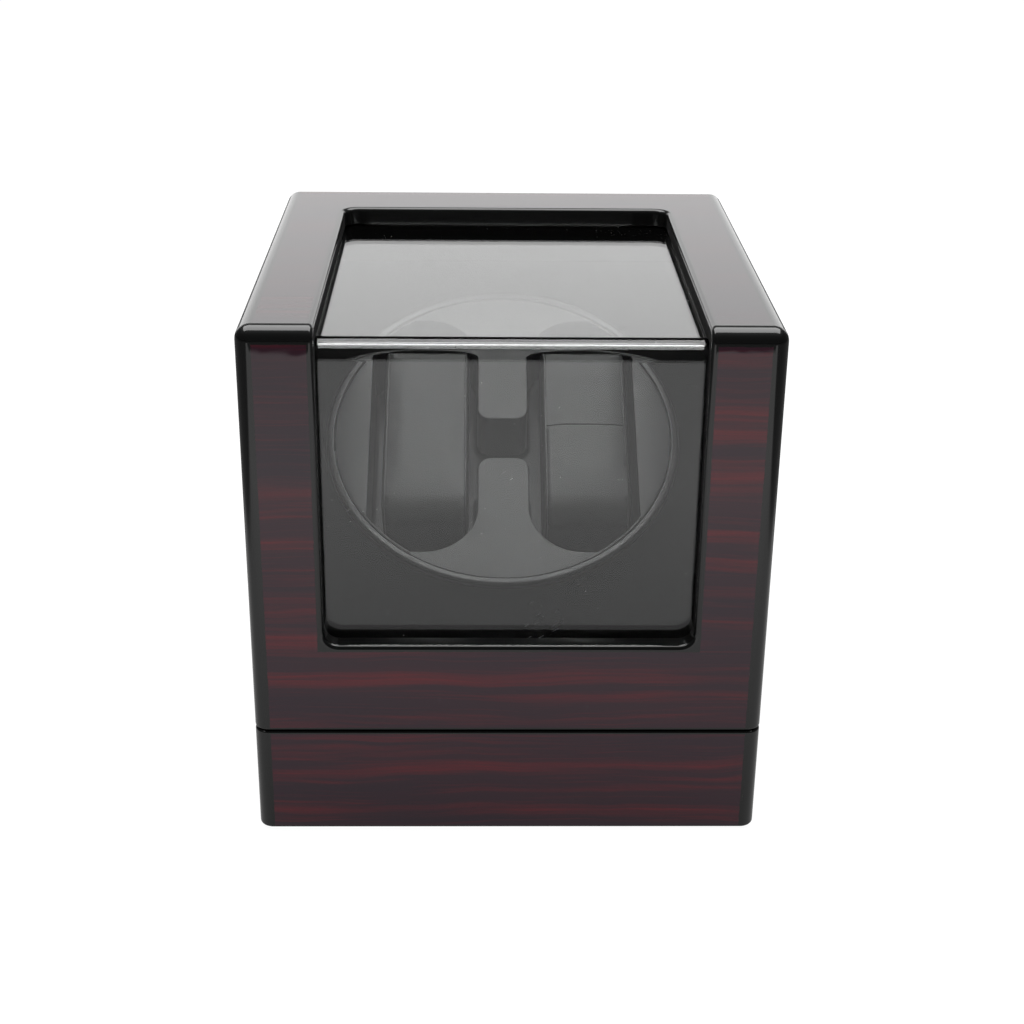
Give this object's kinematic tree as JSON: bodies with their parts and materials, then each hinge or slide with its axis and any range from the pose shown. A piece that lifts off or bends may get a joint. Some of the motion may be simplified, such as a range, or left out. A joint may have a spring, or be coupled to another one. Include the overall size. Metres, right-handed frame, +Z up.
{
  "type": "watch winder box",
  "caption": "Lacquered watch winder case with a rear-hinged lid, an L-shaped clear window, a tilted belt-driven turntable and lift-out watch pillows.",
  "frame": {"origin": "centre of the bottom of the object's box, in the plane that the feet stand on", "axes": "+Z up, +Y from the window side towards the hinges, +X to the right of someone facing the window"},
  "size_m": [0.175, 0.191, 0.186],
  "materials": {
    "lacquered_veneer": "dark red and black striped veneer under thick clear high-gloss lacquer, black at the rounded edges",
    "clear_acrylic": "clear polished acrylic sheet, bent once",
    "black_velvet": "short black flock",
    "satin_black_plastic": "satin black moulding",
    "black_leather": "fine-grain black coated leather over foam",
    "fibreboard": "black flocked paper on fibreboard",
    "foot_pad": "matt black pad",
    "white_nylon": "natural nylon",
    "circuit_board": "green solder mask",
    "black_fittings": "black moulded plastic",
    "belt_rubber": "smooth black belt rubber",
    "lead_sheath": "black insulated lead",
    "nickel": "bright nickel plate",
    "zinc_steel": "zinc plated steel"
  },
  "bodies": {
    "base": {"back_riser": "black_velvet", "base_case": "lacquered_veneer", "base_hinge_leaf_left": "nickel", "base_hinge_leaf_right": "nickel", "base_hinge_screw_1": "nickel", "base_hinge_screw_2": "nickel", "base_hinge_screw_3": "nickel", "base_hinge_screw_4": "nickel", "bearing_housing": "white_nylon", "bottom_panel": "fibreboard", "bottom_screw_1": "zinc_steel", "bottom_screw_2": "zinc_steel", "bottom_screw_3": "zinc_steel", "bottom_screw_4": "zinc_steel", "bracket_screw_1": "zinc_steel", "bracket_screw_2": "zinc_steel", "bracket_screw_3": "zinc_steel", "bracket_screw_4": "zinc_steel", "cheek_left": "black_velvet", "cheek_right": "black_velvet", "control_board": "circuit_board", "dc_jack": "black_fittings", "drive_belt": "belt_rubber", "drive_bracket": "zinc_steel", "foot_1": "foot_pad", "foot_2": "foot_pad", "foot_3": "foot_pad", "foot_4": "foot_pad", "front_skirt": "black_velvet", "gearbox": "zinc_steel", "gearbox_screw_1": "zinc_steel", "gearbox_screw_2": "zinc_steel", "hinge_pin_left": "nickel", "hinge_pin_right": "nickel", "jack_lead": "lead_sheath", "jack_nut": "nickel", "mode_switch": "black_fittings", "motor_can": "nickel", "motor_lead": "lead_sheath", "platform": "black_velvet", "rear_plate": "black_fittings"},
    "lid": {"lid_hinge_leaf_left": "nickel", "lid_hinge_leaf_right": "nickel", "lid_hinge_screw_1": "nickel", "lid_hinge_screw_2": "nickel", "lid_hinge_screw_3": "nickel", "lid_hinge_screw_4": "nickel", "lid_shell": "lacquered_veneer", "window": "clear_acrylic"},
    "turntable": {"turntable_cup": "satin_black_plastic", "turntable_rim": "satin_black_plastic", "driven_pulley": "white_nylon", "spindle": "zinc_steel", "spindle_clip": "zinc_steel"},
    "pillow_left": {"pillow_left": "black_leather"},
    "pillow_right": {"pillow_right": "black_leather"},
    "motor_drive": {"motor_pulley": "white_nylon", "motor_shaft": "zinc_steel"},
    "mode_knob": {"mode_knob": "black_fittings", "switch_spindle": "nickel"}
  },
  "joints": [
    {"name": "lid_hinge", "type": "hinge", "parent": "base", "child": "lid", "pos_m": [0, 0.0892, 0.041], "axis": [-1, 0, 0], "range_deg": [0, 95]},
    {"name": "turntable_spin", "type": "hinge", "parent": "base", "child": "turntable", "pos_m": [-0.0013, 0.00045, 0.1136], "axis": [0, -0.5417, 0.8406], "continuous": true},
    {"name": "motor_pulley_spin", "type": "hinge", "parent": "base", "child": "motor_drive", "pos_m": [-0.0013, -0.03737, 0.08922], "axis": [0, -0.5417, 0.8406], "continuous": true},
    {"name": "pillow_left_lift", "type": "slide", "parent": "turntable", "child": "pillow_left", "axis": [0, -0.5417, 0.8406], "range_m": [0, 0.0258]},
    {"name": "pillow_right_lift", "type": "slide", "parent": "turntable", "child": "pillow_right", "axis": [0, -0.5417, 0.8406], "range_m": [0, 0.0258]},
    {"name": "mode_knob_turn", "type": "hinge", "parent": "base", "child": "mode_knob", "pos_m": [0.012, 0.0865, 0.021], "axis": [0, 1, 0], "range_deg": [0, 120]}
  ],
  "couplings": [
    {"joint": "motor_pulley_spin", "follows": "turntable_spin", "ratio": 4}
  ]
}
